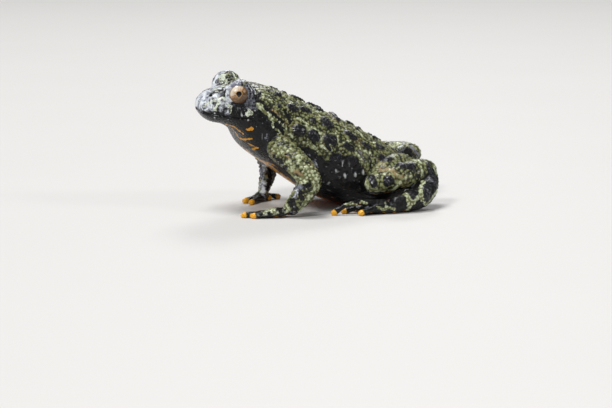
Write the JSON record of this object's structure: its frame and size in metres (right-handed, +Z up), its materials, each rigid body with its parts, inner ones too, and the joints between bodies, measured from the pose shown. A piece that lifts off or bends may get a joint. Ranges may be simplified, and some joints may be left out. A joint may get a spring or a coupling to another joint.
{
  "type": "fire bellied toad",
  "caption": "Still life-size toad model that sits up on its hands, hind legs folded, with bulging eyes and a warty back.",
  "frame": {"origin": "middle of the part's footprint, on the floor it rests on", "axes": "-X towards the snout, +X towards the vent, -Y towards the toad's left side, +Z up"},
  "size_m": [0.0492, 0.0342, 0.0269],
  "materials": {
    "skin": "moist warty skin, black and olive green, orange on the throat, belly and digit tips",
    "eye": "glossy copper iris with a dark drop-shaped pupil"
  },
  "bodies": {
    "root": {"head": "skin", "torso": "skin", "left_upper_arm": "skin", "left_forearm": "skin", "left_hand": "skin", "right_upper_arm": "skin", "right_forearm": "skin", "right_hand": "skin", "left_thigh": "skin", "left_shank": "skin", "left_foot": "skin", "right_thigh": "skin", "right_shank": "skin", "right_foot": "skin", "left_eye": "eye", "right_eye": "eye"}
  },
  "joints": []
}
